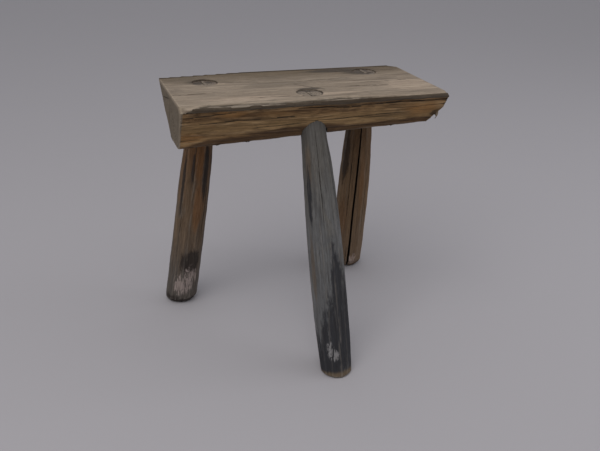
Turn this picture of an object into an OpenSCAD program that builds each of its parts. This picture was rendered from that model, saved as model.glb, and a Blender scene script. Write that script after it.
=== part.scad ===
// Rustic three leg stool: a split log slab on three round hewn legs.
// Millimetres, +Z up. The origin is on the floor, under the middle of the whole stool.

/* [Seat slab] */
// Height of the flat seat above the floor
seat_height = 382; // [350:1:430]
// Length of the slab, along its grain
seat_length = 362; // [350:1:400]
// Width of the flat top at its widest
seat_width = 172; // [165:1:185]
// Thickness under the thick left end
thick_left = 66; // [60:1:72]
// Thickness under the thin right end
thick_right = 53; // [48:1:58]
// Radius of the round underside
belly_radius = 130; // [125:1:200]
// Lean of the hewn front face from upright, in degrees
front_lean = 30; // [22:1:34]
// Lean of the hewn back face from upright, in degrees
back_lean = 48; // [40:1:50]
// Width of the worn bevel along the front edge
bevel_width = 17; // [8:1:22]
// Slope of the worn bevel, in degrees
bevel_slope = 13; // [6:1:18]

/* [Legs] */
// Diameter of the round tenon at the top of each leg
tenon_diameter = 34; // [30:1:36]
// Length of the round tenon, down from the seat's top
tenon_length = 60; // [58:1:68]
// Play between a tenon and its socket, all round
tenon_play = 0.1; // [0.05:0.05:0.3]
// Depth of the tenon ends below the seat's top
tenon_recess = 1.2; // [0.5:0.1:3]
// Radius of the part of each foot that meets the floor
foot_radius = 19; // [16:1:21]
// Width of the drying split at the surface of the right rear leg
split_width = 2.6; // [1:0.1:4]

/* [Wedges] */
// Thickness of each wedge at its outer end
wedge_thick = 5; // [3:0.5:7]
// Thickness of each wedge at its driven tip
wedge_tip = 1; // [0.5:0.1:1.5]
// Length of each wedge
wedge_length = 36; // [24:1:44]

/* [Nail hole] */
// Diameter of the old nail hole in the front edge
nail_hole_diameter = 5; // [2:0.5:5]
// Depth of the old nail hole
nail_hole_depth = 14; // [6:1:20]

/* [Hidden] */

// Middle of the slab, seen from above, and its four sides
seat_middle = [-3, -21];
seat_left = seat_middle.x - seat_length / 2;
seat_right = seat_middle.x + seat_length / 2;
seat_front = seat_middle.y - seat_width / 2;
seat_back = seat_middle.y + seat_width / 2;

// The round underside runs under the front half and rises a little to the right.
belly_y = seat_middle.y - 20;
belly_rise = atan((thick_left - thick_right) / seat_length);

// The back face turns in towards the left end, and the right end is chipped.
left_turn = 5;
left_turn_from = seat_left + 120;
left_end_lean = 2;
chip_turn = -40;
chip_size = 12;
break_depth = 22;
break_lean = 38;

// Each leg: its socket's middle in the seat's top, its foot's middle on the floor,
// and its girth as [height above the floor, diameter] up to the tenon.
left_rear = [[-127, 18], [-157, 110], [[0, 50], [60, 48], [143, 46], [225, 45], [280, 40]]];
front = [[-6, -61], [16, -152], [[0, 43], [40, 46], [92, 47.5], [153, 48], [214, 45], [262, 42], [303, 37]]];
right_rear = [[115, 35], [158, 150], [[0, 52], [105, 51.5], [164, 51], [234, 46], [281, 41.5]]];

// The drying split faces forward and a little to the left.
split_turn = -115;
split_bottom_width = 0.6;
split_top = seat_height - 48;

nail_place = [-18, seat_front + 5];
reach = 600;
over = 30;

function lean_vector(leg) = [leg[0].x - leg[1].x, leg[0].y - leg[1].y, seat_height];
function leg_length(leg) = norm(lean_vector(leg));
function leg_rake(leg) = acos(seat_height / leg_length(leg));
function leg_turn(leg) = atan2(lean_vector(leg).y, lean_vector(leg).x);

// Children stand on the leg's foot, with +Z up its axis and +X still near the slab's grain.
module on_leg(leg) {
    translate([leg[1].x, leg[1].y, 0])
        rotate([0, 0, leg_turn(leg)])
            rotate([0, leg_rake(leg), 0])
                rotate([0, 0, -leg_turn(leg)])
                    children();
}

// All the room beyond one flat hewn face. The face goes through a place, looks along +Y
// before its turn, and leans in under the seat.
module beyond_face(place, turn, lean) {
    translate(place)
        rotate([0, 0, turn])
            rotate([-lean, 0, 0])
                translate([-reach / 2, 0, -reach / 2])
                    cube(reach);
}

module slab_blank() {
    intersection() {
        translate([seat_left - over, seat_front - over, seat_height - 2 * over - thick_left])
            cube([seat_length + 2 * over, seat_width + 2 * over, thick_left + 2 * over]);
        translate([seat_left, belly_y, seat_height - thick_left])
            rotate([0, -belly_rise, 0])
                translate([-over, 0, belly_radius])
                    rotate([0, 90, 0])
                        cylinder(r = belly_radius, h = seat_length + 2 * over, $fn = 128);
    }
}

module hewn_faces() {
    beyond_face([0, seat_front, seat_height], 180, front_lean);
    beyond_face([0, seat_back, seat_height], 0, back_lean);
    beyond_face([left_turn_from, seat_back, seat_height], left_turn, back_lean);
    beyond_face([seat_left, 0, seat_height], 90, left_end_lean);
    beyond_face([seat_right, 0, seat_height], -90, 0);
    beyond_face([seat_right, 0, seat_height - break_depth], -90, break_lean);
    beyond_face([seat_right - chip_size, seat_back, seat_height], chip_turn, back_lean);
    beyond_face([0, seat_front + bevel_width, seat_height], 180, bevel_slope - 90);
}

module socket(leg) {
    on_leg(leg)
        translate([0, 0, leg_length(leg) - 2 * tenon_length])
            cylinder(d = tenon_diameter + 2 * tenon_play, h = 3 * tenon_length, $fn = 64);
}

module nail_hole() {
    translate([nail_place.x, nail_place.y, seat_height])
        rotate([front_lean, 0, 0])
            translate([0, 0, -nail_hole_depth])
                cylinder(d = nail_hole_diameter, h = nail_hole_depth + over, $fn = 32);
}

module seat() {
    color("tan")
        difference() {
            slab_blank();
            hewn_faces();
            socket(left_rear);
            socket(front);
            socket(right_rear);
            nail_hole();
        }
}

// The round stick, longer than the leg at both ends
module stick(leg) {
    up_axis = leg_length(leg) / seat_height;
    tenon_radius = tenon_diameter / 2;
    on_leg(leg)
        rotate_extrude($fn = 64)
            polygon(concat(
                [[0, -over], [leg[2][0][1] / 2, -over]],
                [for (girth = leg[2]) [girth[1] / 2, girth[0] * up_axis]],
                [[tenon_radius, (seat_height - tenon_length) * up_axis]],
                [[tenon_radius, leg_length(leg) + over], [0, leg_length(leg) + over]]
            ));
}

// The room between the floor and the cut tenon end, with the foot's rim worn round
module standing_room(leg) {
    translate([leg[1].x, leg[1].y, 0]) {
        cylinder(r1 = foot_radius, r2 = foot_radius + over, h = over, $fn = 64);
        translate([-reach / 2, -reach / 2, over])
            cube([reach, reach, seat_height - tenon_recess - over]);
    }
}

// The wedge runs across the seat's grain, so that it can't split the slab.
module wedge_blank(leg, above) {
    on_leg(leg)
        translate([0, 0, leg_length(leg)])
            rotate([90, 0, 0])
                linear_extrude(height = 2 * tenon_diameter, center = true)
                    polygon([
                        [-wedge_tip / 2, -wedge_length], [wedge_tip / 2, -wedge_length],
                        [wedge_thick / 2, 0], [wedge_thick / 2, above],
                        [-wedge_thick / 2, above], [-wedge_thick / 2, 0]
                    ]);
}

module leg(place) {
    difference() {
        intersection() {
            stick(place);
            standing_room(place);
        }
        wedge_blank(place, over);
    }
}

module wedge(place) {
    color("darkkhaki")
        intersection() {
            wedge_blank(place, over);
            on_leg(place)
                cylinder(d = tenon_diameter, h = leg_length(place) + over, $fn = 64);
            translate([-reach / 2, -reach / 2, 0])
                cube([reach, reach, seat_height - tenon_recess / 2]);
        }
}

// A drying split, widest at the surface and closing towards the middle of the leg
module drying_split(place) {
    on_leg(place)
        translate([0, 0, -over])
            linear_extrude(height = split_top + over)
                rotate([0, 0, split_turn])
                    polygon([
                        [0, -split_bottom_width / 2], [over, -split_width / 2],
                        [over, split_width / 2], [0, split_bottom_width / 2]
                    ]);
}

module leg_left_rear() {
    color("saddlebrown") leg(left_rear);
}

module leg_front() {
    color("dimgray") leg(front);
}

module leg_right_rear() {
    color("sienna")
        difference() {
            leg(right_rear);
            drying_split(right_rear);
        }
}

module wedge_left_rear() {
    wedge(left_rear);
}

module wedge_front() {
    wedge(front);
}

module wedge_right_rear() {
    wedge(right_rear);
}

seat();
leg_left_rear();
leg_front();
leg_right_rear();
wedge_left_rear();
wedge_front();
wedge_right_rear();
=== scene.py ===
"""A rustic three leg stool: a split log slab on three hewn legs, each held by a wedge.

The scene is in metres, +Z up, with the floor at z = 0 and the grain of the seat along X. Tables of
numbers, and the sizes given to carve, noise and rings, are in millimetres.
"""
import math
from functools import cache

import bmesh
import bpy
import numpy as np
from mathutils import Euler, Matrix, Vector


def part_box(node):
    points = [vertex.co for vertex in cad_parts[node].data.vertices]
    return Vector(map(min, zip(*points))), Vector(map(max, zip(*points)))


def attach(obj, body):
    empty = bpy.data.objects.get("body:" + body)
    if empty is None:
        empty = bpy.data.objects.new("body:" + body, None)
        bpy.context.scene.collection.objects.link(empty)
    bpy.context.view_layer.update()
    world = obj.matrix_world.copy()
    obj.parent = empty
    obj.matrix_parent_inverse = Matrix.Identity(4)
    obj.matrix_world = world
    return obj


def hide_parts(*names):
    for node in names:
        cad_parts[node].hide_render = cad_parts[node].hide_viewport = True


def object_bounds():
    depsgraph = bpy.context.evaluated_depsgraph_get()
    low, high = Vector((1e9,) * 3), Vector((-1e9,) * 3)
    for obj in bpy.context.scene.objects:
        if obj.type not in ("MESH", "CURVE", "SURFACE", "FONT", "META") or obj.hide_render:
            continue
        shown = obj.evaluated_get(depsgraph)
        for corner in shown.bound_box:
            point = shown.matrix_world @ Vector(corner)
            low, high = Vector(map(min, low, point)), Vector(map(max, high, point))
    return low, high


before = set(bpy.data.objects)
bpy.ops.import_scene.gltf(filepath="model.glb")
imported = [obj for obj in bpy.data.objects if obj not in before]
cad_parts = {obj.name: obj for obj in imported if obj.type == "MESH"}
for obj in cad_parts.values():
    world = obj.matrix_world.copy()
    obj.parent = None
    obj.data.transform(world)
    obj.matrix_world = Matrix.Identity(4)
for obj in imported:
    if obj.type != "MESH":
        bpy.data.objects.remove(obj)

MM = 0.001
CAD_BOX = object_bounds()
SEAT_LOW, SEAT_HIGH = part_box("seat")

# Groups that hold carving to a region; a region's own value has the same name without this
CARVING = "carve_"

# The seat's hewn faces in degrees: leans from upright, turns about Z and the front bevel's slope
FRONT_LEAN = 30
BACK_LEAN = 48
BACK_TURN = 5
BACK_CORNER_TURN = -40
BEVEL_SLOPE = 13
BREAK_LEAN = 36
LEFT_END_LEAN = 2

# Sizes of the seat's slab
BEVEL_DROP = 3.46 * MM
BACK_BEND = 120 * MM
BREAK_DEPTH = 24 * MM
BACK_CORNER_CHIP = 12 * MM
LEFT_CORNER_DROP = 6.5 * MM
LEFT_CORNER_WAY = (-0.23, -0.44, 0.87)
END_ARRIS = 1.5 * MM
PITH = (SEAT_LOW.x, SEAT_HIGH.y - 100 * MM, SEAT_HIGH.z - 6 * MM)
SEAT_SKIN = 1.45 * MM
CHECK_WANDER = 0.4 * MM

# The round underside: its facets' turns and how much it rises to the right, in degrees
BELLY_MIDDLE = 106 * MM
BELLY_RADIUS = 130 * MM
BELLY_STAGGER = 0.8 * MM
BELLY_RISE = 2.06
BELLY_FACETS = (-15, -8, -1, 6, 13, 20)

# The worn front arris along X, in millimetres: how far it reaches back over the top and down the front
ARRIS_BACK = [
    (-184, 2), (-167, 6), (-146, 17), (-108, 16), (-78, 13), (-8, 12), (26, 17), (52, 12), (86, 9),
    (143, 8),
]
ARRIS_DOWN = [
    (-179, 6.4), (-155, 5), (-129, 4.4), (-29, 4.4), (-9, 4.8), (11, 5.6), (32, 7.2), (47, 7.2), (61, 5.4),
    (93, 4.6),
]

# Along X, in millimetres: the height below which the front face is darkened with painted shade, above its
# lower edge
LOWER_FRONT_SHADE_LINE = [(-184, 320), (-144, 331), (-91, 336), (-26, 343), (14, 343), (40, 339), (120, 341), (142, 344)]

# Soft oval spots on the seat, each [middle, half sizes], in millimetres. The grime spots are dirt and
# painted shade, by the sockets' rims and under the front arris
SEAT_SPOTS = {
    "grime": [
        [(-132, 24, 382), (30, 13, 9)], [(0, -44, 382), (24, 9, 9)], [(104, 34, 382), (40, 17, 9)],
        [(84, 49, 382), (74, 17, 9)], [(-150, -101, 366), (10, 12, 5)], [(28, -98, 372), (40, 14, 4)],
    ],
    "dull": [[(-40, -5, 382), (62, 34, 9)], [(-150, 50, 382), (40, 20, 9)], [(60, 0, 382), (40, 12, 9)]],
    "pale": [
        [(-107, 8, 382), (7, 4, 6)], [(-95, -72, 382), (80, 13, 6)], [(150, -50, 382), (55, 40, 6)],
        [(20, -72, 382), (50, 9, 6)],
    ],
    "warm": [
        [(-124, -100, 370), (30, 16, 8)], [(150, -94, 356), (30, 18, 14)],
        [(-168, -88, 335), (26, 22, 12)],
    ],
}

# Sizes of the legs and their joints
TENON = 34 * MM
TENON_LENGTH = 60 * MM
SOCKET = 34.2 * MM
SOCKET_RIM = 1.004 * SOCKET
LEG_SKIN = 1.15 * MM
CAGE_SHRINK = 0.955
WEDGE_THICK = 5 * MM
WEDGE_TIP = 1 * MM
WEDGE_LENGTH = 36 * MM
WEDGE_WIDTH = 31 * MM
KERF_WIDTH = 60 * MM

# The camera: its place, and its turn, downward tilt and roll in degrees
EYE = (-323.1 * MM, -900.6 * MM, 612.5 * MM)
EYE_TURN = -20.286
EYE_TILT = 25.242
EYE_ROLL = 2.006


# ---------------------------------------------------------------- the bench's own tools

def put_down():
    """Leaves nothing selected, in object mode."""
    if bpy.context.object and bpy.context.object.mode != "OBJECT":
        bpy.ops.object.mode_set(mode="OBJECT")
    bpy.ops.object.select_all(action="DESELECT")


def take(piece):
    """Takes one piece in hand: it alone is selected and active."""
    put_down()
    bpy.context.view_layer.objects.active = piece
    piece.select_set(True)


def open_up(piece, kind="FACE"):
    """Opens a piece in edit mode with nothing selected."""
    take(piece)
    bpy.ops.object.mode_set(mode="EDIT")
    bpy.ops.mesh.select_mode(type=kind)
    bpy.ops.mesh.select_all(action="DESELECT")


def pick(piece, kind, test):
    """Opens a small piece and selects the corners, or the edges by their two ends, that pass the test."""
    open_up(piece, kind)
    mesh = bmesh.from_edit_mesh(piece.data)
    if kind == "VERT":
        for corner in mesh.verts:
            corner.select = test(corner.co)
    if kind == "EDGE":
        for edge in mesh.edges:
            edge.select = test(edge.verts[0].co, edge.verts[1].co)
    mesh.select_flush_mode()
    bmesh.update_edit_mesh(piece.data)


def settle(piece):
    """Puts a piece's place, turn and size into its mesh."""
    take(piece)
    bpy.ops.object.transform_apply(location=True, rotation=True, scale=True)


def place(piece, matrix):
    """Moves a piece by a matrix and puts the move into its mesh."""
    piece.matrix_world = matrix @ piece.matrix_world
    settle(piece)


def newest(name):
    """The thing that was added last, given its name."""
    made = bpy.context.object
    made.name = name
    made.data.name = name
    return made


def block(name, low, high):
    """A block of wood between two corners."""
    put_down()
    middle = (Vector(low) + Vector(high)) / 2
    size = Vector(high) - Vector(low)
    bpy.ops.mesh.primitive_cube_add(size=1, location=middle, scale=size)
    piece = newest(name)
    settle(piece)
    return piece


def open_all(piece):
    """Opens a piece in edit mode with all of it selected."""
    open_up(piece)
    bpy.ops.mesh.select_all(action="SELECT")


def face_out(piece):
    """Turns every face outwards."""
    open_all(piece)
    bpy.ops.mesh.normals_make_consistent(inside=False)
    put_down()


def hew(piece, through, away):
    """Hews a flat face: all the wood beyond it goes, and the cut is closed."""
    open_all(piece)
    bpy.ops.mesh.bisect(plane_co=through, plane_no=away, use_fill=True, clear_outer=True)
    put_down()


def work(piece, kind, **settings):
    """Gives a piece one modifier and puts what it does into the mesh."""
    change = piece.modifiers.new(kind, kind)
    for name, value in settings.items():
        setattr(change, name, value)
    take(piece)
    bpy.ops.object.modifier_apply(modifier=change.name)


def cut(piece, tool, operation="DIFFERENCE"):
    """Cuts a piece with a tool of its own shape, which is then put away."""
    work(piece, "BOOLEAN", object=tool, operation=operation, solver="MANIFOLD", material_mode="TRANSFER")
    bpy.data.objects.remove(tool, do_unlink=True)


def join(pieces):
    """Joins several tools into the first one."""
    take(pieces[0])
    for piece in pieces[1:]:
        piece.select_set(True)
    bpy.ops.object.join()
    return pieces[0]


def even_skin(piece, size):
    """Gives a shaped piece one closed skin of small even faces, softened as worn wood is."""
    work(piece, "REMESH", mode="VOXEL", voxel_size=size, use_smooth_shade=True)
    work(piece, "SMOOTH", factor=0.5, iterations=2)


def points_of(piece):
    """The places and outward directions of a piece's corners."""
    count = len(piece.data.vertices)
    places = np.empty(count * 3, np.float32)
    piece.data.vertices.foreach_get("co", places)
    normals = np.empty(count * 3, np.float32)
    piece.data.vertex_normals.foreach_get("vector", normals)
    return places.reshape(-1, 3), normals.reshape(-1, 3)


def mark(piece, name, amount):
    """Keeps a value from 0 to 1 at each corner, for the wood's colours and for carving."""
    layer = piece.data.attributes.get(name) or piece.data.attributes.new(name, "FLOAT", "POINT")
    layer.data.foreach_set("value", np.clip(amount, 0, 1).astype(np.float32))


def points_of_mark(piece, name):
    """The values kept by mark at each corner."""
    amount = np.empty(len(piece.data.vertices), np.float32)
    piece.data.attributes[name].data.foreach_get("value", amount)
    return amount


def region(piece, name, amount):
    """Keeps a marked region as a group too, so that carving can be held to it."""
    mark(piece, name, amount)
    name = CARVING + name
    group = piece.vertex_groups.get(name) or piece.vertex_groups.new(name=name)
    steps = np.round(np.clip(amount, 0, 1) * 10).astype(int)
    for step in range(1, 11):
        inside = np.nonzero(steps == step)[0]
        if len(inside):
            group.add(inside.tolist(), step / 10, "REPLACE")


def smooth_step(low, high, value):
    """0 up to low, 1 from high on, smooth between."""
    share = np.clip((value - low) / (high - low), 0, 1)
    return share * share * (3 - 2 * share)


# ---------------------------------------------------------------- carving wood's own relief

def held(pattern, low=0.0, high=1.0):
    """Stretches a pattern from black at low to white at high, and never past them."""
    pattern.use_color_ramp = True
    dark, light = pattern.color_ramp.elements
    dark.position, dark.color = low, (0, 0, 0, 1)
    light.position, light.color = high, (1, 1, 1, 1)
    return pattern


def soft_noise(name):
    """Soft lumps, as a blade leaves them."""
    pattern = bpy.data.textures.new(name, "CLOUDS")
    pattern.noise_scale = 1
    pattern.noise_depth = 2
    pattern.noise_basis = "IMPROVED_PERLIN"
    return held(pattern)


def torn_noise(name):
    """Noise with sharp creases, as in torn or weathered fibres."""
    pattern = soft_noise(name)
    pattern.noise_depth = 3
    pattern.noise_type = "HARD_NOISE"
    return pattern


def furrow_lines(name, width=0.1):
    """Thin wandering lines, white between them and black in them, for small drying checks."""
    pattern = bpy.data.textures.new(name, "VORONOI")
    pattern.noise_scale = 1
    pattern.weight_1 = -1
    pattern.weight_2 = 1
    return held(pattern, 0, width)


def carve(piece, pattern, depth, size, turn=(0, 0, 0), shift=(0, 0, 0), group="", along="NORMAL", mid=1.0):
    """Sinks a pattern into the wood. Its depth, and its size before its turn, are in millimetres."""
    put_down()
    bpy.ops.object.empty_add(location=shift, rotation=Euler(turn))
    guide = bpy.context.object
    guide.scale = [length * MM for length in size]
    bpy.context.view_layer.update()
    work(
        piece, "DISPLACE", texture=pattern, texture_coords="OBJECT", texture_coords_object=guide,
        direction=along, strength=depth * MM, mid_level=mid, vertex_group=CARVING + group if group else "",
    )
    bpy.data.objects.remove(guide, do_unlink=True)
    bpy.data.textures.remove(pattern)


def check_blade(start, finish, outward, width, depth, wander, seed, ends=0.7):
    """A thin wavy blade that cuts one drying check. A low number for ends keeps it open up to its ends."""
    rings = 13
    put_down()
    bpy.ops.mesh.primitive_cube_add(size=1)
    blade = newest("check_blade")
    pick(blade, "EDGE", lambda a, b: abs(a.x - b.x) > 0.5)
    bpy.ops.mesh.subdivide(number_cuts=rings - 2)
    rng = np.random.default_rng(seed)
    side = np.cumsum(rng.normal(0, wander, rings))
    side -= np.linspace(side[0], side[-1], rings)
    for ring in range(rings):
        share = ring / (rings - 1)
        here = share - 0.5
        open_width = width * max(0.04, math.sin(math.pi * share) ** ends) * rng.uniform(0.75, 1.15)
        pick(blade, "VERT", lambda co: abs(co.x - here) < 0.01 and abs(co.y) > 0.4)
        bpy.ops.transform.resize(value=(1, open_width, 1), center_override=(here, 0, 0))
        pick(blade, "VERT", lambda co: abs(co.x - here) < 0.01 and co.z < 0)
        bpy.ops.transform.resize(value=(1, 0.12, 1), center_override=(here, 0, 0))
        pick(blade, "VERT", lambda co: abs(co.x - here) < 0.01)
        bpy.ops.transform.translate(value=(0, side[ring], 0))
    put_down()
    length = (finish - start).length
    blade.scale = (length, 1, depth * 2)
    settle(blade)
    along = (finish - start).normalized()
    up = (outward - along * outward.dot(along)).normalized()
    across = up.cross(along)
    turn = Matrix((along, across, up)).transposed().to_4x4()
    place(blade, Matrix.Translation((start + finish) / 2) @ turn)
    return blade


def turned(name, profile, sides):
    """A closed round or many-sided stick along +Z, drawn out of one disc. profile is [height, diameter]."""
    put_down()
    base, girth = profile[0]
    bpy.ops.mesh.primitive_circle_add(
        vertices=sides, radius=girth / 2, fill_type="NGON", location=(0, 0, base)
    )
    stick = newest(name)
    settle(stick)
    open_all(stick)
    for height, wanted in profile[1:]:
        bpy.ops.mesh.extrude_region_move(TRANSFORM_OT_translate={"value": (0, 0, height - base)})
        grow = wanted / girth
        bpy.ops.transform.resize(value=(grow, grow, 1), center_override=(0, 0, height))
        base, girth = height, wanted
    put_down()
    face_out(stick)
    return stick


def keep_within(piece, low, high):
    """Presses in any fibre that stands out of the room the piece may take."""
    places, _ = points_of(piece)
    piece.data.vertices.foreach_set("co", np.clip(places, low, high).ravel())
    piece.data.update()


def bent_line(corners, at):
    """The height of a bent line at each place along it. Both are in millimetres."""
    along, heights = zip(*corners)
    return np.interp(at, along, heights)


def spot_edge(away):
    """How strong a soft spot is, for a distance of 1 at its half size."""
    return 1 - smooth_step(0.15, 1.35, away)


def in_spots(places, spots):
    """How deep each place lies in any of some soft oval spots."""
    amount = np.zeros(len(places))
    for middle, half in spots:
        away = np.linalg.norm((places - np.array(middle)) / np.array(half), axis=1)
        amount = np.maximum(amount, spot_edge(away))
    return amount


def relief(piece, passes=10, scale=0.6 * MM):
    """Marks ridges towards 1 and hollows towards 0, by how far the skin stands off a smoothed one."""
    places, normals = points_of(piece)
    edges = np.empty(len(piece.data.edges) * 2, np.int32)
    piece.data.edges.foreach_get("vertices", edges)
    one, other = edges.reshape(-1, 2).T
    count = np.bincount(one, minlength=len(places)) + np.bincount(other, minlength=len(places))
    smooth = places.astype(float)
    for _ in range(passes):
        total = np.zeros_like(smooth)
        for axis in range(3):
            total[:, axis] += np.bincount(one, smooth[other, axis], len(places))
            total[:, axis] += np.bincount(other, smooth[one, axis], len(places))
        smooth = total / count[:, None]
    stands = ((places - smooth) * normals).sum(1)
    mark(piece, "relief", 0.5 + stands / (2 * scale))


# ---------------------------------------------------------------- where the legs stand

def leg_ends(node):
    """The middle of a leg's foot and of its tenon's end, from its CAD piece."""
    corners = np.array([corner.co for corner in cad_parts[node].data.vertices])
    ends = []
    for level in (corners[:, 2].min(), corners[:, 2].max()):
        rim = corners[abs(corners[:, 2] - level) < 0.05 * MM]
        middle = (rim.min(0) + rim.max(0)) / 2
        ends.append(Vector((middle[0], middle[1], level)))
    return ends


def leg_stand(node):
    """The move that stands an upright leg in its place, and the leg's length to the seat's top."""
    foot, head = leg_ends(node)
    axis = (head - foot).normalized()
    turn = Vector((0, 0, 1)).rotation_difference(axis)
    length = (SEAT_HIGH.z - foot.z) / axis.z
    return Matrix.Translation(foot) @ turn.to_matrix().to_4x4(), length


# ---------------------------------------------------------------- the seat

def facing(turn, lean):
    """The outward direction of a hewn face that looks along +Y before its turn and leans in below."""
    lean = math.radians(lean)
    way = Vector((0, math.cos(lean), -math.sin(lean)))
    way.rotate(Euler((0, 0, math.radians(turn))))
    return way


def seat_slab():
    """The slab, split and hewn out of the log."""
    left, front, bottom = SEAT_LOW
    right, back, top = SEAT_HIGH
    spare = 30 * MM
    low = (left - spare, front - spare, bottom - spare)
    slab = block("seat_slab", low, (right + spare, back + spare, top))
    arris = (0, front, top - BEVEL_DROP)
    hew(slab, arris, facing(180, FRONT_LEAN))
    hew(slab, arris, facing(180, BEVEL_SLOPE - 90))
    hew(slab, (0, back, top), facing(0, BACK_LEAN))
    hew(slab, (left + BACK_BEND, back, top), facing(BACK_TURN, BACK_LEAN))
    rise = math.radians(BELLY_RISE)
    for number, turn in enumerate(BELLY_FACETS):
        turn = math.radians(turn)
        across = back - BELLY_MIDDLE + BELLY_RADIUS * math.sin(turn)
        through = Vector((left, across, bottom + BELLY_RADIUS * (1 - math.cos(turn))))
        through.z += (number % 3) * BELLY_STAGGER
        hew(slab, through, Vector((math.sin(rise), math.sin(turn), -math.cos(turn))))
    hew(slab, (left, 0, top), facing(90, LEFT_END_LEAN))
    hew(slab, (right, 0, top), facing(-90, 0))
    hew(slab, (right, 0, top - BREAK_DEPTH), facing(-90, BREAK_LEAN))
    hew(slab, (right - BACK_CORNER_CHIP, back, top), facing(BACK_CORNER_TURN, BACK_LEAN))
    hew(slab, (left, front + 3 * MM, top - LEFT_CORNER_DROP), LEFT_CORNER_WAY)
    corner = (facing(90, LEFT_END_LEAN) + facing(180, FRONT_LEAN)).normalized()
    hew(slab, Vector(arris) + Vector((left, 0, 0)) - corner * END_ARRIS, corner)
    face_out(slab)
    return slab


def splinter():
    """The little splinter that still hangs from the broken end."""
    right, top = SEAT_HIGH.x, SEAT_HIGH.z
    front = SEAT_LOW.y
    spike = turned("splinter", [[0, 5 * MM], [4 * MM, 4 * MM], [7 * MM, 3 * MM], [9 * MM, 2 * MM]], 7)
    hang = Matrix.Translation((right - 7 * MM, front + 16 * MM, top - 32 * MM))
    place(spike, hang @ Euler((math.radians(165), math.radians(28), 0)).to_matrix().to_4x4())
    return spike


def seat_regions(slab):
    """Marks the seat's faces by the way they look, before any carving."""
    places, normals = points_of(slab)
    x, y, z = places.T / MM

    def looks(way):
        return normals @ np.array(way)

    region(slab, "top", smooth_step(0.8, 0.95, normals[:, 2]))
    region(slab, "front", smooth_step(0.8, 0.95, looks(facing(180, FRONT_LEAN))))
    region(slab, "back", smooth_step(0.8, 0.95, looks(facing(0, BACK_LEAN))))
    region(slab, "belly", smooth_step(0.75, 0.9, -normals[:, 2]))
    region(slab, "sawn", smooth_step(0.8, 0.95, -normals[:, 0]))
    mark(slab, "cut_end", smooth_step(0.7, 0.9, normals[:, 0]))
    broken = np.maximum(looks(facing(-90, 0)), looks(facing(-90, BREAK_LEAN)))
    below_top = SEAT_HIGH.z / MM - z
    region(slab, "broken", smooth_step(0.7, 0.9, broken) * smooth_step(12, 26, below_top))
    from_front = y - SEAT_LOW.y / MM
    back_reach = 1 - smooth_step(-2, 1.5, from_front - bent_line(ARRIS_BACK, x))
    down_reach = 1 - smooth_step(-0.8, 2.2, below_top - bent_line(ARRIS_DOWN, x))
    region(slab, "arris", back_reach * down_reach)
    faces = ("top", "front", "back", "belly", "sawn", "cut_end")
    flat = np.max([points_of_mark(slab, name) for name in faces], axis=0)
    region(slab, "edge", (1 - flat) * (1 - back_reach * down_reach))
    corner = (1 - smooth_step(3, 6, x - SEAT_LOW.x / MM)) * smooth_step(0.2, 0.5, -normals[:, 1])
    mark(slab, "corner", corner)
    # Painted shade on the lower front, where it turns under towards the belly
    mark(slab, "lower_front_shade", smooth_step(-3, 3, bent_line(LOWER_FRONT_SHADE_LINE, x) - z) * (normals[:, 1] < 0))
    for name, spots in SEAT_SPOTS.items():
        mark(slab, name, in_spots(places / MM, spots))


def carve_seat(slab):
    """Weathers each face as its own kind of surface."""
    # face, pattern, depth and the pattern's size along X, Y and Z, in millimetres
    for face, pattern, depth, size in (
        ("top", soft_noise, 0.9, (130, 45, 45)),
        ("top", torn_noise, 0.30, (60, 4, 4)),
        ("top", furrow_lines, 0.45, (130, 15, 30)),
        ("arris", soft_noise, 3.2, (38, 20, 20)),
        ("arris", torn_noise, 1.0, (18, 7, 7)),
        ("front", soft_noise, 1.8, (130, 26, 13)),
        ("front", torn_noise, 0.9, (80, 5, 5)),
        ("front", furrow_lines, 0.7, (110, 10, 10)),
        ("back", soft_noise, 3.0, (70, 30, 30)),
        ("back", torn_noise, 0.9, (70, 5, 5)),
        ("belly", soft_noise, 2.4, (52, 34, 40)),
        ("belly", torn_noise, 0.6, (70, 5, 5)),
        ("sawn", soft_noise, 1.0, (40, 60, 30)),
        ("sawn", torn_noise, 0.35, (9, 60, 3)),
    ):
        carve(slab, pattern(face), depth, size, group=face)
    down_break = (0, math.radians(BREAK_LEAN), 0)
    for pattern, depth, size in ((soft_noise, 6, (30, 15, 15)), (torn_noise, 4.5, (24, 3.8, 9))):
        carve(slab, pattern("broken"), depth, size, turn=down_break, group="broken", along="X", mid=0.45)
    work(slab, "SMOOTH", factor=0.5, iterations=8, vertex_group=CARVING + "edge")


def seat_check(start, finish, outward, width, depth, seed, ends=0.7):
    """One drying check in the seat. Its width and depth are in millimetres."""
    return check_blade(start, finish, outward, width * MM, depth * MM, CHECK_WANDER, seed, ends)


def top_checks():
    """The checks in the top: start and finish from the left front corner, width and depth."""
    blades = []
    for number, (start, finish, width, depth) in enumerate((
        ((30, 118), (128, 112), 0.9, 9), ((-2, 64), (74, 69), 1.0, 12), ((140, 102), (250, 108), 1.0, 10),
        ((172, 90), (204, 56), 1.3, 8), ((210, 66), (300, 62), 0.8, 7), ((266, 80), (366, 86), 1.1, 12),
        ((95, 36), (160, 33), 0.8, 6), ((240, 150), (345, 143), 1.2, 10),
    )):
        start, finish = [
            Vector((SEAT_LOW.x + along * MM, SEAT_LOW.y + inwards * MM, SEAT_HIGH.z))
            for along, inwards in (start, finish)
        ]
        blades.append(seat_check(start, finish, Vector((0, 0, 1)), width, depth, 20 + number))
    return blades


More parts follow.
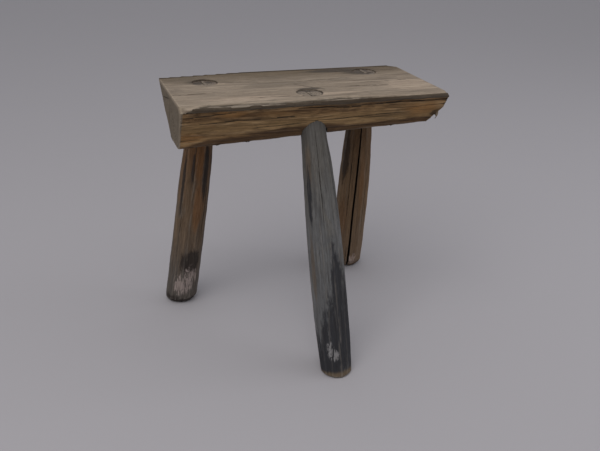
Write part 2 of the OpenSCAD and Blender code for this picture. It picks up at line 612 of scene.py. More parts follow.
def front_checks():
    """The checks in the front: start and finish from the left end and below the top, width and depth."""
    slope = math.tan(math.radians(FRONT_LEAN))
    blades = []
    for number, (start, finish, width, depth) in enumerate((
        ((5, 14), (70, 9), 1.8, 4), ((150, 9.5), (236, 12.5), 2.4, 5), ((222, 11), (300, 9), 2.0, 5),
        ((285, 9), (366, 10), 2.2, 5), ((26, 24), (150, 22), 1.2, 7), ((205, 30), (312, 27), 1.2, 7),
        ((96, 36), (166, 33), 1.0, 6),
    )):
        start, finish = [
            Vector((SEAT_LOW.x + along * MM, SEAT_LOW.y + (down * slope - 2) * MM, SEAT_HIGH.z - down * MM))
            for along, down in (start, finish)
        ]
        blades.append(seat_check(start, finish, Vector((0, -1, 0.15)), width, depth, 40 + number, 0.5))
    return blades


def end_checks():
    """The checks in the sawn end: the way out from the pith, in degrees, and how far it reaches."""
    blades = []
    for number, (turn, reach) in enumerate(((-112, 34), (-58, 52), (-12, 58))):
        turn = math.radians(turn)
        way = Vector((0, math.cos(turn), math.sin(turn)))
        start = Vector(PITH) + way * 8 * MM
        finish = Vector(PITH) + way * reach * MM
        blades.append(seat_check(start, finish, Vector((-1, 0, 0)), 0.9, 8, 60 + number))
    return blades


def socket_drill(node):
    """The drill for one leg's socket, a hair wider at the worn rim."""
    stand, length = leg_stand(node)
    profile = [
        [length - 130 * MM, SOCKET], [length - 4 * MM, SOCKET],
        [length + 1 * MM, SOCKET_RIM], [length + 20 * MM, SOCKET_RIM],
    ]
    drill = turned("drill", profile, 72)
    place(drill, stand)
    return drill


def torn_mouth():
    """The wood that is torn away beside the front leg, where its socket breaks out of the hewn face."""
    stand, length = leg_stand("leg_front")
    profile = [
        [length - 95 * MM, 37 * MM], [length - 62 * MM, 36 * MM],
        [length - 46 * MM, 30 * MM], [length - 36 * MM, 18 * MM],
    ]
    gouge = turned("torn_mouth", profile, 9)
    place(gouge, stand @ Matrix.Translation((3.4 * MM, 1 * MM, 0)))
    return gouge


def nail_hole():
    """The small old nail hole in the worn front edge."""
    foot = Vector((-18 * MM, SEAT_LOW.y + 3.4 * MM, SEAT_HIGH.z))
    drill = turned("nail_hole", [[-14 * MM, 4.2 * MM], [-1 * MM, 4.8 * MM], [10 * MM, 7 * MM]], 24)
    lean = Euler((math.radians(FRONT_LEAN), 0, 0)).to_matrix().to_4x4()
    place(drill, Matrix.Translation(foot) @ lean)
    return drill


def make_seat():
    """The seat: shaped, weathered and painted, then bored and split."""
    slab = seat_slab()
    slab = join([slab, splinter()])
    even_skin(slab, SEAT_SKIN)
    seat_regions(slab)
    carve_seat(slab)
    keep_within(slab, SEAT_LOW, SEAT_HIGH)
    relief(slab)
    paint(slab, seat_wood())
    for node in LEGS:
        drill = socket_drill(node)
        paint(drill, socket_wood())
        cut(slab, drill)
    # The torn mouth, the nail hole and the checks are lined with painted shade
    for tool in (torn_mouth(), nail_hole(), join(top_checks() + front_checks() + end_checks())):
        paint(tool, check_shade_wood())
        cut(slab, tool)
    return finished(slab, "seat_slab", "seat")


# ---------------------------------------------------------------- the legs

# Each leg's girth as [height above the floor, diameter] in millimetres, its hewn sides, the seed and
# sway of its hewing, how many degrees its worn tenon end slopes down towards the back, the turns at which
# its long split opens at the foot and at the seat, and its soft spots as [turn, height] and half sizes.
# Turns are in degrees about the leg, and the side towards the standing eye is at about -115.
LEGS = {
    "leg_left_rear": {
        "girth": [
            [0, 50], [30, 49.5], [60, 48.5], [143, 46.5], [190, 46], [225, 45], [255, 43],
            [280, 40.5], [303, 37],
        ],
        "sides": 11, "seed": 4, "sway": 1.2, "worn_end": 2.6, "split": None,
        "grime": [
            [(-84, 90), (50, 28)], [(-58, 262), (16, 66)], [(-100, 2), (200, 20)],
            [(-112, 262), (9, 40)], [(-150, 230), (10, 60)],
        ],
        "pale": [[(-106, 46), (36, 24)], [(-80, 58), (32, 26)]],
        "warm": [[(-92, 285), (44, 64)], [(-74, 200), (30, 56)]],
    },
    "leg_front": {
        "girth": [
            [0, 42], [20, 44.5], [40, 46.5], [92, 48], [153, 48.5], [214, 45.5], [262, 42],
            [285, 39.5], [303, 37],
        ],
        "sides": 12, "seed": 9, "sway": 1.5, "worn_end": 1.6, "split": None,
        "grime": [
            [(-56, 52), (110, 100)], [(-74, 124), (30, 74)], [(-104, 26), (110, 60)], [(-126, 8), (130, 32)],
            [(-150, 250), (11, 50)],
        ],
        "pale": [[(-123, 38), (15, 13)], [(-105, 31), (12, 10)]],
        "warm": [[(-148, 290), (20, 36)], [(-115, 0), (180, 9)], [(-160, 150), (12, 60)]],
    },
    "leg_right_rear": {
        "girth": [
            [0, 52], [51, 52.5], [105, 52], [164, 51.5], [205, 49], [234, 46.5], [262, 43.5],
            [281, 41.5], [303, 37],
        ],
        "sides": 11, "seed": 14, "sway": 1.0, "worn_end": 1, "split": (-109, -102),
        "grime": [[(-165, 250), (30, 70)], [(-115, 2), (180, 12)]],
        "pale": [[(-92, 26), (20, 16)]],
        "warm": [[(-82, 200), (22, 70)], [(-145, 120), (24, 60)]],
    },
}


def leg_blank(node):
    """An upright many-sided stick with a round tenon, hewn a little unevenly."""
    plan = LEGS[node]
    _, length = leg_stand(node)
    up_axis = length / SEAT_HIGH.z
    shoulder = length - TENON_LENGTH
    rings = [[height * up_axis * MM, width * MM / CAGE_SHRINK] for height, width in plan["girth"]]
    rings = [[-40 * MM, rings[0][1]]] + rings
    for height in (shoulder, shoulder + 20 * MM, length - 20 * MM, length + 30 * MM):
        rings.append([height, TENON / CAGE_SHRINK])
    stick = turned(node, rings, plan["sides"])
    for number, (height, _) in enumerate(rings[1:-4]):
        pick(stick, "VERT", lambda co: abs(co.z - height) < 1 * MM)
        swing = math.sin(height / length * math.pi) * plan["sway"] * MM
        bpy.ops.transform.translate(value=(swing, 0.4 * swing, 0))
        bpy.ops.transform.vertex_random(offset=1.1 * MM, seed=plan["seed"] + number // 3)
    pick(stick, "EDGE", lambda a, b: abs(a.z - b.z) > 10 * MM and max(a.z, b.z) < shoulder)
    bpy.ops.transform.edge_crease(value=0.55)
    put_down()
    work(stick, "SUBSURF", levels=4, render_levels=4)
    return stick


def standing_room(node):
    """The room a leg may fill: a bowl about its worn foot, then wide up to just past its head."""
    stand, _ = leg_stand(node)
    foot, head = leg_ends(node)
    profile = [
        [-0.4 * MM, 36 * MM], [1.2 * MM, 42 * MM], [3.5 * MM, 46.5 * MM], [8 * MM, 52 * MM],
        [15 * MM, 62 * MM], [40 * MM, 130 * MM], [60 * MM, 500 * MM], [head.z + 6 * MM, 500 * MM],
    ]
    bowl = turned("standing_room", profile, 64)
    place(bowl, stand.inverted() @ Matrix.Translation((foot.x, foot.y, 0)))
    return bowl


def wedge_shape(name, node, spare, width):
    """A thin wedge across the tenon, point down, in the leg's upright place."""
    _, length = leg_stand(node)
    thick = (WEDGE_THICK + 2 * spare) / 2
    piece = block(name, (-thick, -width / 2, length - WEDGE_LENGTH - spare), (thick, width / 2, length))
    pick(piece, "VERT", lambda co: co.z < length - 1 * MM)
    draw_in = (WEDGE_TIP + 2 * spare) / (2 * thick)
    bpy.ops.transform.resize(value=(draw_in, 1, 1), center_override=(0, 0, length - WEDGE_LENGTH))
    put_down()
    return piece


def worn_slope(node, above=0.0):
    """A point on a tenon's worn end and the way that end faces, in the leg's upright place."""
    stand, _ = leg_stand(node)
    _, head = leg_ends(node)
    tilt = math.radians(LEGS[node]["worn_end"])
    rim = Vector((head.x, head.y - TENON / 2, head.z + above))
    way = Vector((0, math.sin(tilt), math.cos(tilt)))
    back = stand.inverted()
    return back @ rim, back.to_3x3() @ way


def split_blade(node):
    """The long drying split, ragged along its edges and closing towards the middle of the leg."""
    _, length = leg_stand(node)
    ends = []
    for turn, height, radius in zip(LEGS[node]["split"], (-200 * MM, length - 14 * MM), (30 * MM, 19 * MM)):
        turn = math.radians(turn)
        ends.append(Vector((math.cos(turn) * radius, math.sin(turn) * radius, height)))
    out = (ends[0] + ends[1]) * Vector((1, 1, 0))
    return check_blade(*ends, out.normalized(), 5.8 * MM, 24 * MM, 0.3 * MM, 77, ends=0.35)


def small_checks(node):
    """A few thin drying checks along a leg and out from the middle of its tenon's end."""
    plan = LEGS[node]
    rng = np.random.default_rng(plan["seed"])
    _, length = leg_stand(node)
    blades = []
    for number in range(8):
        turn = rng.uniform(0, 2 * math.pi)
        base = rng.uniform(-0.02, 0.62) * length
        reach = rng.uniform(0.12, 0.34) * length
        out = Vector((math.cos(turn), math.sin(turn), 0))
        start = out * girth_at(node, base) / 2 + Vector((0, 0, base))
        finish = out * girth_at(node, base + reach) / 2 + Vector((0, 0, base + reach))
        width = rng.uniform(0.7, 1.2) * MM
        seed = plan["seed"] * 10 + number
        blades.append(check_blade(start, finish, out, width, 5 * MM, CHECK_WANDER, seed))
    through, way = worn_slope(node)
    for number in range(3):
        turn = rng.uniform(0, 2 * math.pi)
        out = Vector((math.cos(turn), math.sin(turn), 0))
        middle = Vector((0, 0, through.z + (through.x * way.x + through.y * way.y) / way.z))
        out.z = -(out.x * way.x + out.y * way.y) / way.z
        start = middle + out * 4.5 * MM
        finish = middle + out * 18 * MM
        blades.append(check_blade(start, finish, way, 0.7 * MM, 6 * MM, 0.2 * MM, 500 + number))
    return blades


def girth_at(node, along):
    """A leg's diameter at a height along its axis."""
    _, length = leg_stand(node)
    heights, widths = zip(*LEGS[node]["girth"])
    level = along / length * SEAT_HIGH.z / MM
    return float(np.interp(level, heights, widths)) * MM


def leg_regions(piece, node):
    """Marks the bare stick below the seat, its two ends and its soft spots."""
    _, length = leg_stand(node)
    foot, head = leg_ends(node)
    places, normals = points_of(piece)
    stick = 1 - smooth_step(length - TENON_LENGTH - 4 * MM, length - TENON_LENGTH + 8 * MM, places[:, 2])
    axis = (head - foot).normalized()
    sole = smooth_step(0.9, 0.97, normals @ np.array((axis.x, axis.y, -axis.z)))
    region(piece, "stick", stick * (1 - sole))
    region(piece, "sole", sole)
    near_end = smooth_step(length - 12 * MM, length - 9 * MM, places[:, 2])
    region(piece, "tenon_end", near_end * smooth_step(0.8, 0.93, normals[:, 2]))
    turn = np.degrees(np.arctan2(places[:, 1], places[:, 0]))
    height = places[:, 2] / length * SEAT_HIGH.z / MM
    for name in ("grime", "pale", "warm"):
        amount = np.zeros(len(places))
        for (spot_turn, spot_height), (half_turn, half_height) in LEGS[node][name]:
            off_turn = (turn - spot_turn + 180) % 360 - 180
            away = np.hypot(off_turn / half_turn, (height - spot_height) / half_height)
            amount = np.maximum(amount, spot_edge(away))
        mark(piece, name, amount)


def carve_leg(piece, node):
    """Weathers a leg along its own grain."""
    shift = (0.013 * LEGS[node]["seed"], 0, 0)
    # face, pattern, depth, the pattern's size along X, Y and Z in millimetres, and how much of it sinks
    for face, pattern, depth, size, sunk in (
        ("stick", soft_noise, 1.5, (17, 17, 60), 0.5),
        ("stick", soft_noise, 0.8, (9, 9, 20), 0.7),
        ("stick", torn_noise, 0.38, (3.6, 3.6, 70), 0.8),
        ("stick", furrow_lines, 0.45, (9, 9, 130), 1),
        ("sole", torn_noise, 0.8, (4, 4, 4), 1),
        ("tenon_end", torn_noise, 0.6, (5, 2.4, 30), 1),
    ):
        carve(piece, pattern(face), depth, size, group=face, shift=shift, mid=sunk)


def make_leg(node):
    """One leg, worked upright at the middle of the floor and then stood in its place."""
    stand, _ = leg_stand(node)
    stick = leg_blank(node)
    cut(stick, standing_room(node), "INTERSECT")
    hew(stick, *worn_slope(node))
    even_skin(stick, LEG_SKIN)
    leg_regions(stick, node)
    carve_leg(stick, node)
    relief(stick)
    paint(stick, leg_wood(node))
    kerf = wedge_shape("kerf", node, 0.05 * MM, KERF_WIDTH)
    paint(kerf, socket_wood())
    cut(stick, kerf)
    blades = small_checks(node)
    if LEGS[node]["split"]:
        blades.append(split_blade(node))
    blades = join(blades)
    # The checks and the split are lined with painted shade
    paint(blades, check_shade_wood())
    cut(stick, blades)
    place(stick, stand)
    keep_within(stick, *CAD_BOX)
    # The seat's grime spots, dirt and painted shade, carried onto the tenon's end
    mark(stick, "seat_grime_and_shade", in_spots(points_of(stick)[0] / MM, SEAT_SPOTS["grime"]))
    return finished(stick, node.replace("leg", "hewn_leg"), node)


# ---------------------------------------------------------------- the wedges

def make_wedge(node):
    """A split wedge, its driven end cut off just above the tenon's worn end."""
    leg = node.replace("wedge", "leg")
    stand, _ = leg_stand(leg)
    piece = wedge_shape(node, leg, -0.1 * MM, WEDGE_WIDTH)
    open_all(piece)
    bpy.ops.mesh.bevel(offset=0.35 * MM, segments=2, affect="EDGES")
    bpy.ops.mesh.select_all(action="SELECT")
    bpy.ops.mesh.subdivide(number_cuts=5)
    hew(piece, *worn_slope(leg, 0.5 * MM))
    place(piece, stand)
    even_skin(piece, 0.5 * MM)
    carve(piece, torn_noise("split faces"), 0.4, (3, 1.6, 30))
    relief(piece, 6, 0.3 * MM)
    paint(piece, wedge_wood())
    return finished(piece, node.replace("wedge", "driven_wedge"), node)


def finished(piece, name, node):
    """Names a finished piece, smooths its shading and joins it to the frame."""
    take(piece)
    bpy.ops.object.shade_smooth_by_angle(angle=math.radians(50))
    piece.name = name
    piece.data.name = name
    piece.vertex_groups.clear()
    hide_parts(node)
    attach(piece, "root")
    return piece


# ---------------------------------------------------------------- finishes

def paint(piece, material):
    piece.data.materials.clear()
    piece.data.materials.append(material)


class Finish:
    """A wood finish, built up from its coordinates to its shader."""

    def __init__(self, name):
        self.material = bpy.data.materials.new(name)
        self.material.use_nodes = True
        self.tree = self.material.node_tree
        self.shader = self.tree.nodes["Principled BSDF"]
        self.shader.inputs["Specular IOR Level"].default_value = 0.25

    def feed(self, socket, value):
        """Gives a socket a link or a plain value."""
        if isinstance(value, bpy.types.NodeSocket):
            self.tree.links.new(value, socket)
        else:
            socket.default_value = value

    def node(self, kind, sockets=None, **settings):
        """Adds a node with its settings, and feeds its sockets."""
        made = self.tree.nodes.new("ShaderNode" + kind)
        for name, value in settings.items():
            setattr(made, name, value)
        for name, value in (sockets or {}).items():
            self.feed(made.inputs[name], value)
        return made

    def spot(self, location=(0, 0, 0), turn=(0, 0, 0)):
        """The place on the piece, measured from a point and along a turned grain."""
        where = self.node("TexCoord").outputs["Object"]
        sockets = {"Vector": where, "Location": location, "Rotation": turn}
        return self.node("Mapping", sockets, vector_type="TEXTURE").outputs["Vector"]

    def part(self, vector, axis):
        """One axis of a place: 0, 1 or 2."""
        return self.node("SeparateXYZ", {0: vector}).outputs[axis]

    def noise(self, vector, size, detail=4.0, rough=0.6, bend=0.0, seed=0.0):
        """Noise whose features are size long along X, Y and Z, in millimetres."""
        scale = [1 / (length * MM) for length in size]
        shift = (seed, seed * 0.7, seed * 1.3)
        mapping = self.node("Mapping", {"Vector": vector, "Scale": scale, "Location": shift})
        made = self.node("TexNoise", {
            "Vector": mapping.outputs["Vector"], "Scale": 1, "Detail": detail, "Roughness": rough,
            "Distortion": bend,
        })
        return made.outputs["Fac"]

    def rings(self, vector, pitch, bend):
        """Growth rings about the X axis of the given place, a pitch apart in millimetres."""
        scale = (1 / (20 * pitch * MM), 1 / (pitch * MM), 1 / (pitch * MM))
        mapping = self.node("Mapping", {"Vector": vector, "Scale": scale})
        sockets = {
            "Vector": mapping.outputs["Vector"], "Scale": 0.31, "Distortion": bend, "Detail": 3,
            "Detail Scale": 0.35,
        }
        return self.node("TexWave", sockets, wave_type="RINGS", rings_direction="X").outputs["Fac"]

    def ramp(self, factor, stops):
        """The colours that a value runs through, as [value, colour]."""
        made = self.node("ValToRGB", {"Fac": factor})
        steps = made.color_ramp.elements
        while len(steps) < len(stops):
            steps.new(0.5)
        for step, (position, colour) in zip(steps, stops):
            step.position = position
            step.color = (*colour, 1)
        return made.outputs["Color"]

    def band(self, value, low, high):
        """0 below low, 1 above high, smooth between; low may be the larger."""
        sockets = {
            "Value": value, "From Min": min(low, high), "From Max": max(low, high),
            "To Min": 0 if low < high else 1, "To Max": 1 if low < high else 0,
        }
        return self.node("MapRange", sockets, interpolation_type="SMOOTHSTEP").outputs["Result"]

    def sum(self, one, other, how="ADD"):
        return self.node("Math", {0: one, 1: other}, operation=how).outputs[0]

    def times(self, one, other):
        return self.sum(one, other, "MULTIPLY")

    def between(self, share, one, other):
        """One value where share is 0 and the other where it is 1."""
        return self.sum(self.times(self.sum(1.0, share, "SUBTRACT"), one), self.times(share, other))

    def over(self, factor, under, top, how="MIX"):
        """Lays one colour over another."""
        made = self.node("Mix", {"Factor": factor}, data_type="RGBA", blend_type=how)
        sockets = [socket for socket in made.inputs if socket.type == "RGBA"]
        for socket, colour in zip(sockets, (under, top)):
            self.feed(socket, colour if isinstance(colour, bpy.types.NodeSocket) else (*colour, 1))
        return next(socket for socket in made.outputs if socket.type == "RGBA")

    def wash(self, under, amount, strength, colour):
        """Lays a colour as thickly as an amount says."""
        return self.over(self.times(amount, strength), under, colour)

    def tint(self, under, value, low, high, strength, colour):
        """Lays a colour where a value runs from low to high, which may be the smaller."""
        return self.wash(under, self.band(value, low, high), strength, colour)

    def patchy_coat(self, under, name, colour, strength, patchy, broken=1.8, full=0.95):
        """Lays a colour over a marked region, broken up by a patchy value."""
        marked = self.kept(name)
        amount = self.sum(marked, self.times(self.sum(patchy, -0.5), broken))
        amount = self.times(self.band(amount, 0.20, full), self.band(marked, 0, 0.3))
        return self.wash(under, amount, strength, colour)

    def kept(self, name):
        """A value that was marked on the piece."""
        return self.node("Attribute", attribute_name=name).outputs["Fac"]

    def lay(self, colour, rough, height, depth):
        """Joins the finish to the shader: its colour, its roughness and its fine relief."""
        self.feed(self.shader.inputs["Base Color"], colour)
        self.feed(self.shader.inputs["Roughness"], rough)
        bump = self.node("Bump", {"Height": height, "Distance": depth, "Strength": 1})
        self.feed(self.shader.inputs["Normal"], bump.outputs["Normal"])
        return self.material

    def weather_and_shade(self, colour, fine, fibres, pores, dirt, worn):
        """Puts dirt and painted shade in the hollows, wear on the ridges and pores along the grain, and lays
        the finish.
        """
        stands = self.kept("relief")
        # Dirt and painted shade: the hollows marked by relief are darkened towards the dark colour
        colour = self.tint(colour, stands, 0.46, 0.05, 0.75, dirt)
        colour = self.tint(colour, stands, 0.58, 1.0, 0.30, worn)
        shade = self.ramp(fine, [(0.32, (0.72, 0.70, 0.68)), (0.62, (1.12, 1.12, 1.12))])
        colour = self.over(1.0, colour, shade, "MULTIPLY")
        colour = self.wash(colour, pores, 0.55, dirt)
        rough = self.sum(0.62, self.times(fibres, 0.35))
        height = self.sum(self.times(fine, 0.5), self.times(fibres, 0.8))
        height = self.sum(height, self.times(pores, -0.25))
        return self.lay(colour, rough, height, 0.6 * MM)


def inner_wood(name, dark, light):
    """Wood inside a cut: fibres between a dark and a light brown, for the dirty walls of sockets and kerfs,
    and for painted shade inside the checks.
    """
    finish = Finish(name)
    fibres = finish.noise(finish.spot(), (20, 2, 4), 5)
    return finish.lay(finish.ramp(fibres, [(0.3, dark), (0.7, light)]), 0.9, fibres, 0.4 * MM)


@cache
def check_shade_wood():
    """Painted shade deep in the drying checks, the same in all of them."""
    return inner_wood("check_shade_wood", (0.008, 0.006, 0.004), (0.030, 0.020, 0.012))


@cache
def socket_wood():
    """The lighter walls of the sockets and kerfs."""
    return inner_wood("socket_wood", (0.060, 0.047, 0.036), (0.160, 0.127, 0.098))


def top_wood(finish, grain, streaks, patches, lines):
    """The seat's top: greyed tan, darker towards the back, worn pale in front and darkened by the sockets
    with dirt and painted shade.
    """
    top = finish.ramp(grain, [
        (0.30, (0.146, 0.112, 0.081)), (0.43, (0.210, 0.165, 0.124)),
        (0.52, (0.260, 0.208, 0.158)), (0.66, (0.330, 0.270, 0.210)),
    ])
    top = finish.tint(top, patches, 0.50, 0.68, 0.45, (0.150, 0.122, 0.094))
    y = finish.part(finish.spot(), 1)
    back_edge = finish.sum(y, finish.times(streaks, 0.05))
    top = finish.tint(top, back_edge, 0.020, 0.085, 0.80, (0.096, 0.068, 0.038))
    top = finish.wash(top, lines, 0.30, (0.100, 0.074, 0.052))
    top = finish.patchy_coat(top, "pale", (0.440, 0.345, 0.265), 0.50, streaks)
    top = finish.patchy_coat(top, "dull", (0.110, 0.088, 0.066), 0.42, patches, 3.0)
    # Dirt and painted shade: the grime spots darken the top by the sockets
    return finish.patchy_coat(top, "grime", (0.050, 0.038, 0.029), 0.90, streaks, 1.2)


def front_wood(finish, grain, fibres, streaks, patches, lines):
    """The hewn front: warm and lumpy, with painted light in a lighter band along its middle, and painted
    shade under the arris and along its foot.
    """
    front = finish.ramp(grain, [
        (0.30, (0.066, 0.035, 0.015)), (0.42, (0.148, 0.085, 0.037)),
        (0.52, (0.225, 0.138, 0.063)), (0.64, (0.310, 0.206, 0.108)),
    ])
    front = finish.wash(front, lines, 0.25, (0.060, 0.033, 0.014))
    lumps = finish.noise(finish.spot(), (34, 10, 10), 5, 0.65, 1.2, seed=11)
    shade = finish.ramp(lumps, [
        (0.34, (0.50, 0.46, 0.43)), (0.48, (1.00, 0.99, 0.99)), (0.62, (1.45, 1.46, 1.46)),
    ])
    front = finish.over(1.0, front, shade, "MULTIPLY")
    z = finish.part(finish.spot(), 2)
    level = finish.sum(z, finish.times(streaks, 0.016))
    # Painted highlight: a lighter band along the middle of the front face
    painted_highlight_band = finish.times(finish.band(level, 0.346, 0.356), finish.band(level, 0.372, 0.362))
    front = finish.wash(front, painted_highlight_band, 0.45, (0.285, 0.186, 0.084))
    front = finish.tint(front, patches, 0.52, 0.66, 0.35, (0.180, 0.092, 0.030))
    # Painted shade: a dark strip just under the arris's overhanging lip
    arris_lip_shade = finish.sum(z, finish.times(fibres, 0.008))
    front = finish.tint(front, arris_lip_shade, 0.3770, 0.3820, 0.18, (0.030, 0.021, 0.010))
    front = finish.patchy_coat(front, "warm", (0.300, 0.150, 0.048), 0.60, patches)
    # Dirt and painted shade: the grime spots darken the front under the arris
    front = finish.patchy_coat(front, "grime", (0.048, 0.028, 0.014), 0.60, streaks, 2.4)
    # Painted shade along the front's lower edge
    return finish.patchy_coat(front, "lower_front_shade", (0.058, 0.030, 0.015), 0.78, streaks, 2.6)


def arris_wood(finish, grain):
    """The worn front arris: grey tan, lighter on its raised fibres."""
    return finish.ramp(grain, [
        (0.34, (0.066, 0.055, 0.044)), (0.50, (0.150, 0.126, 0.101)), (0.62, (0.290, 0.246, 0.200)),
    ])


def end_grain(finish, blotches, patches):
    """The sawn end: growth rings about the pith, greyed in blotches."""
    rings = finish.rings(finish.spot(PITH), 4.2, 2.2)
    end = finish.ramp(finish.sum(finish.times(rings, 0.14), finish.times(blotches, 0.86)), [
        (0.26, (0.078, 0.060, 0.040)), (0.50, (0.136, 0.106, 0.074)), (0.76, (0.190, 0.152, 0.108)),
    ])
    return finish.tint(end, patches, 0.48, 0.70, 0.4, (0.088, 0.070, 0.048))


def belly_wood(finish, grain):
    """The bark side and the back: dark and dull."""
    return finish.ramp(grain, [
        (0.30, (0.022, 0.016, 0.010)), (0.48, (0.070, 0.050, 0.032)), (0.66, (0.130, 0.098, 0.066)),
    ])


def broken_wood(finish):
    """The broken end: warm slivers that run down the break."""
    down_break = finish.spot(turn=(0, math.radians(BREAK_LEAN), 0))
    slivers = finish.noise(down_break, (12, 1.6, 30), 5)
    return finish.ramp(slivers, [
        (0.34, (0.050, 0.024, 0.010)), (0.50, (0.130, 0.070, 0.030)), (0.66, (0.220, 0.135, 0.066)),
    ])


def seat_wood():
    """The seat's grain along X, speckled instead on its cut ends, and each face in its own tones."""
    finish = Finish("seat_wood")
    spot = finish.spot()
    fine = finish.noise(spot, (30, 1.1, 1.1), 4, 0.65, 0.5, seed=0.55)
    fibres = finish.noise(spot, (75, 3.4, 3.4), 6, 0.6, 0.3)
    streaks = finish.noise(spot, (170, 11, 11), 5, 0.55, 0.4, seed=3)
    patches = finish.noise(spot, (85, 34, 34), 4, 0.6, 0.8, seed=5)
    grain = finish.sum(finish.times(fibres, 0.45), finish.times(streaks, 0.55))
    pores = finish.band(finish.noise(spot, (12, 0.6, 0.6), 3, bend=0.5, seed=7.4), 0.58, 0.70)
    across = finish.spot(turn=(0.5, 0.4, 0.3))
    speckle = finish.noise(across, (4, 1.6, 1.6), 5, 0.7)
    blotches = finish.noise(across, (12, 7, 7), 5, 0.65, 0.6)
    cut_across = finish.sum(finish.kept("sawn"), finish.kept("cut_end"))
    fine = finish.between(cut_across, fine, speckle)
    fibres = finish.between(cut_across, fibres, blotches)
    pores = finish.between(cut_across, pores, 0.0)
    lines = finish.band(finish.noise(spot, (220, 1.9, 1.9), 3, 0.5, 0.2, seed=9), 0.54, 0.64)

    belly = belly_wood(finish, grain)
    end = end_grain(finish, blotches, patches)
    colour = belly
    for name, face in (
        ("back", belly), ("cut_end", end), ("broken", broken_wood(finish)), ("sawn", end),
        ("front", front_wood(finish, grain, fibres, streaks, patches, lines)),
        ("top", top_wood(finish, grain, streaks, patches, lines)),
    ):
        colour = finish.over(finish.kept(name), colour, face)
    colour = finish.patchy_coat(colour, "arris", arris_wood(finish, grain), 0.62, streaks, 3.6)
    colour = finish.patchy_coat(colour, "corner", (0.210, 0.172, 0.124), 0.8, patches)
    return finish.weather_and_shade(colour, fine, fibres, pores, (0.030, 0.020, 0.012), (0.38, 0.31, 0.24))


# Each leg's tones: its grain from dark to light, its high and low parts and what lies on it
LEG_TONES = {
    "leg_left_rear": {
        "grain": [(0.062, 0.036, 0.019), (0.112, 0.074, 0.045), (0.168, 0.119, 0.080)],
        "high": (0.118, 0.050, 0.014), "low": (0.078, 0.073, 0.069), "patch": (0.118, 0.096, 0.075),
        "warm": (0.168, 0.072, 0.022), "grime": (0.026, 0.019, 0.016), "rim": (0.036, 0.025, 0.020),
        "pale": (0.400, 0.325, 0.300),
    },
    "leg_front": {
        "grain": [(0.052, 0.050, 0.050), (0.100, 0.100, 0.102), (0.156, 0.156, 0.160)],
        "high": (0.080, 0.072, 0.061), "low": (0.104, 0.105, 0.110), "patch": (0.104, 0.093, 0.079),
        "warm": (0.094, 0.066, 0.043), "grime": (0.018, 0.018, 0.022), "rim": (0.150, 0.108, 0.068),
        "pale": (0.300, 0.290, 0.295),
    },
    "leg_right_rear": {
        "grain": [(0.076, 0.042, 0.020), (0.150, 0.092, 0.048), (0.220, 0.145, 0.084)],
        "high": (0.074, 0.035, 0.012), "low": (0.165, 0.112, 0.072), "patch": (0.132, 0.090, 0.056),
        "warm": (0.170, 0.084, 0.034), "grime": (0.034, 0.020, 0.011), "rim": (0.045, 0.030, 0.020),
        "pale": (0.420, 0.330, 0.290),
    },
}


def leg_wood(node):
    """Hewn wood along a leg: its own browns or greys, its darker foot and its pale scuffs."""
    tones = LEG_TONES[node]
    finish = Finish(node + "_wood")
    stand, _ = leg_stand(node)
    seed = LEGS[node]["seed"]
    spot = finish.spot(stand.translation, stand.to_euler())
    fine = finish.noise(spot, (1.1, 1.1, 30), 4, 0.65, seed=seed)
    fibres = finish.noise(spot, (3, 3, 70), 6, 0.6, 0.3, seed=seed)
    streaks = finish.noise(spot, (9, 9, 150), 5, 0.55, 0.5, seed=seed + 2)
    patches = finish.noise(spot, (22, 22, 55), 4, 0.6, 0.8, seed=seed + 5)
    scuffs = finish.noise(spot, (3.2, 3.2, 13), 5, 0.7, 0.8, seed=seed + 8)
    blots = finish.sum(finish.times(patches, 0.3), finish.times(streaks, 0.35))
    blots = finish.sum(blots, finish.times(scuffs, 0.35))
    grain = finish.sum(finish.times(fibres, 0.5), finish.times(streaks, 0.5))
    pores = finish.band(finish.noise(spot, (0.6, 0.6, 12), 3, seed=seed + 3), 0.58, 0.70)
    height = finish.part(spot, 2)

    colour = finish.ramp(grain, list(zip((0.34, 0.50, 0.66), tones["grain"])))
    colour = finish.tint(colour, patches, 0.50, 0.66, 0.5, tones["patch"])
    up = finish.sum(height, finish.times(finish.sum(streaks, -0.5), 0.20))
    colour = finish.tint(colour, up, 0.19, 0.32, 0.65, tones["high"])
    colour = finish.tint(colour, up, 0.18, 0.04, 0.75, tones["low"])
    colour = finish.patchy_coat(colour, "warm", tones["warm"], 0.60, streaks)
    colour = finish.patchy_coat(colour, "grime", tones["grime"], 0.92, blots, 3.6, full=0.72)
    rim = finish.sum(height, finish.times(scuffs, 0.008))
    colour = finish.tint(colour, rim, 0.012, 0.006, 0.7, tones["rim"])
    colour = finish.patchy_coat(colour, "pale", tones["pale"], 0.66, scuffs, 5.5)
    colour = finish.over(finish.kept("tenon_end"), colour, tenon_end_wood(finish, node, patches))
    return finish.weather_and_shade(colour, fine, fibres, pores, (0.018, 0.013, 0.009), (0.26, 0.23, 0.20))


def tenon_end_wood(finish, node, patches):
    """A tenon's worn end: growth rings in the top's tones, with painted shade at its back under the socket's
    rim, and the seat's dirt and painted shade over it.
    """
    stand, _ = leg_stand(node)
    rings = finish.rings(finish.spot(stand.translation, turned_end(stand)), 3, 2.5)
    end = finish.ramp(finish.sum(finish.times(rings, 0.35), finish.times(patches, 0.65)), [
        (0.30, (0.150, 0.119, 0.091)), (0.62, (0.245, 0.200, 0.158)),
    ])
    # Painted shade: the back of the tenon's end is darkened, where the socket's rim shades it
    away = finish.part(finish.spot(leg_ends(node)[1]), 1)
    end = finish.tint(end, away, -0.002, 0.015, 0.40, (0.070, 0.056, 0.045))
    # Dirt and painted shade from the seat's grime spots
    return finish.patchy_coat(end, "seat_grime_and_shade", (0.050, 0.038, 0.031), 0.88, patches, 1.6)


def turned_end(stand):
    """The turn that puts a leg's own axis along X, for its growth rings."""
    return (stand.to_3x3().to_4x4() @ Matrix.Rotation(math.radians(90), 4, "Y")).to_euler()


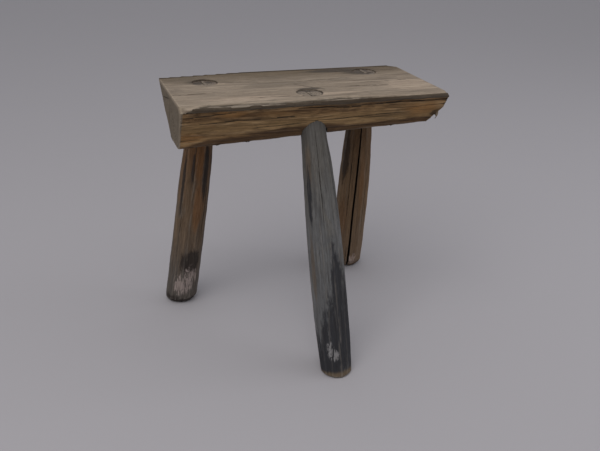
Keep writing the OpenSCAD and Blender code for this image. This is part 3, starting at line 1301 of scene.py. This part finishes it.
@cache
def wedge_wood():
    """Split wood under dirt, with dirt and painted shade in its hollows, the same on every wedge."""
    finish = Finish("wedge_wood")
    spot = finish.spot()
    fibres = finish.noise(spot, (1.2, 4, 20), 5)
    dirt = finish.noise(spot, (6, 6, 6), 4, seed=2)
    colour = finish.ramp(finish.sum(finish.times(fibres, 0.6), finish.times(dirt, 0.4)), [
        (0.40, (0.075, 0.059, 0.045)), (0.50, (0.150, 0.121, 0.094)), (0.60, (0.230, 0.188, 0.148)),
    ])
    stands = finish.kept("relief")
    # Dirt and painted shade: the wedge's hollows are darkened
    colour = finish.tint(colour, stands, 0.5, 0.1, 0.7, (0.020, 0.015, 0.010))
    return finish.lay(colour, finish.sum(0.65, finish.times(fibres, 0.3)), fibres, 0.3 * MM)


# ---------------------------------------------------------------- the studio

def pale_floor():
    put_down()
    bpy.ops.mesh.primitive_plane_add(size=12, location=(0, 0, 0))
    floor = newest("floor")
    finish = Finish("pale_floor")
    finish.shader.inputs["Base Color"].default_value = (0.365, 0.350, 0.370, 1)
    finish.shader.inputs["Roughness"].default_value = 0.9
    paint(floor, finish.material)


def soft_light():
    sky = bpy.data.worlds.new("sky")
    sky.use_nodes = True
    sky.node_tree.nodes["Background"].inputs["Color"].default_value = (0.96, 0.97, 1.0, 1)
    sky.node_tree.nodes["Background"].inputs["Strength"].default_value = 0.55
    bpy.context.scene.world = sky
    for name, location, size, power, tint in (
        ("high_window", (-1.1, -1.3, 2.3), 1.8, 34, (1.0, 0.98, 0.95)),
        ("side_window", (1.8, -0.6, 1.5), 1.4, 9, (0.95, 0.97, 1.0)),
    ):
        put_down()
        bpy.ops.object.light_add(type="AREA", location=location)
        lamp = newest(name)
        lamp.data.size = size
        lamp.data.energy = power
        lamp.data.color = tint
        aim = Vector((0, 0, 0.2)) - Vector(location)
        lamp.rotation_euler = aim.to_track_quat("-Z", "Y").to_euler()


def standing_eye():
    """The camera, where someone would stand to look down at the stool from its left front."""
    put_down()
    bpy.ops.object.camera_add(location=EYE)
    camera = newest("camera")
    turn = Matrix.Rotation(math.radians(EYE_TURN), 4, "Z")
    tilt = Matrix.Rotation(math.radians(90 - EYE_TILT), 4, "X")
    roll = Matrix.Rotation(math.radians(EYE_ROLL), 4, "Z")
    camera.rotation_euler = (turn @ tilt @ roll).to_euler()
    camera.data.lens = 42
    camera.data.sensor_width = 36
    bpy.context.scene.camera = camera
    bpy.context.scene.view_settings.view_transform = "Standard"


standing_eye()
soft_light()
pale_floor()
make_seat()
for leg_name in LEGS:
    make_leg(leg_name)
    make_wedge(leg_name.replace("leg", "wedge"))
put_down()
